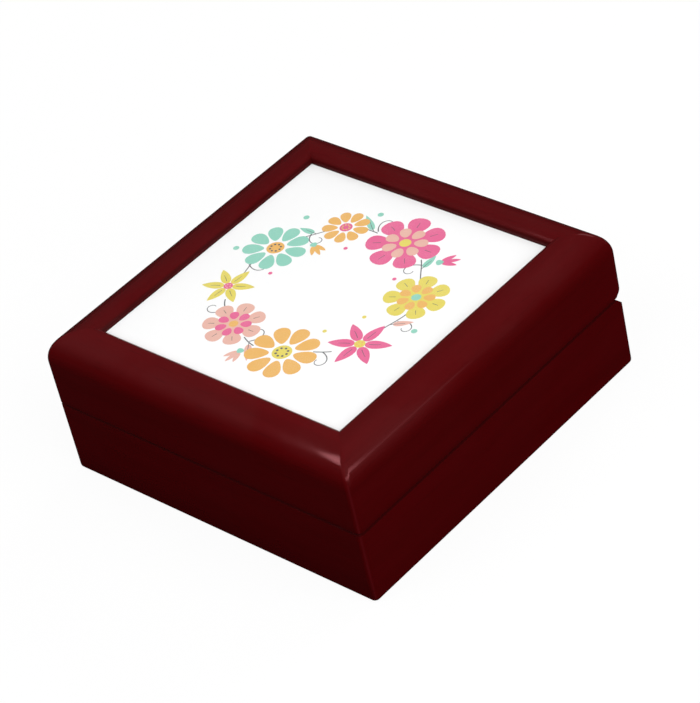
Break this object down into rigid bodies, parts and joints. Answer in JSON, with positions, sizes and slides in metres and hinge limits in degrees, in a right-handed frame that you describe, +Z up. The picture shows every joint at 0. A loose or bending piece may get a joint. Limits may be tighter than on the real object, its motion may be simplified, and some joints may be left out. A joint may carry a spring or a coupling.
{
  "type": "hinged keepsake box",
  "caption": "Square lacquered wooden keepsake box with a hinged lid that frames a glazed printed tile, lined with felt.",
  "frame": {"origin": "centre of the underside, on the surface the box stands on", "axes": "+X to the right along the front, +Y to the hinged back, +Z up through the tile"},
  "size_m": [0.1396, 0.1396, 0.0584],
  "materials": {
    "lacquer": "gloss dark red lacquer",
    "board": "plain fibreboard",
    "felt": "black felt",
    "tile_glaze": "gloss white glaze with a print",
    "pad_foam": "double-sided foam tape",
    "hinge_brass": "polished brass plate",
    "screw_brass": "polished brass"
  },
  "bodies": {
    "base": {"base_front_wall": "lacquer", "base_back_wall": "lacquer", "base_left_wall": "lacquer", "base_right_wall": "lacquer", "base_bottom_panel": "board", "base_underside_felt": "felt", "base_floor_lining": "felt", "base_front_lining": "felt", "base_back_lining": "felt", "base_left_lining": "felt", "base_right_lining": "felt", "left_hinge_base_leaf": "hinge_brass", "left_hinge_pin": "hinge_brass", "left_hinge_base_screws": "screw_brass", "right_hinge_base_leaf": "hinge_brass", "right_hinge_pin": "hinge_brass", "right_hinge_base_screws": "screw_brass"},
    "lid": {"lid_front_rail": "lacquer", "lid_back_rail": "lacquer", "lid_left_rail": "lacquer", "lid_right_rail": "lacquer", "tile_backing_board": "board", "tile_pads": "pad_foam", "ceramic_tile": "tile_glaze", "lid_ceiling_lining": "felt", "lid_front_lining": "felt", "lid_back_lining": "felt", "lid_left_lining": "felt", "lid_right_lining": "felt", "left_hinge_lid_leaf": "hinge_brass", "left_hinge_lid_screws": "screw_brass", "right_hinge_lid_leaf": "hinge_brass", "right_hinge_lid_screws": "screw_brass"}
  },
  "joints": [
    {"name": "lid_hinge", "type": "hinge", "parent": "base", "child": "lid", "pos_m": [0, 0.06655, 0.0296], "axis": [-1, 0, 0], "range_deg": [0, 99]}
  ]
}
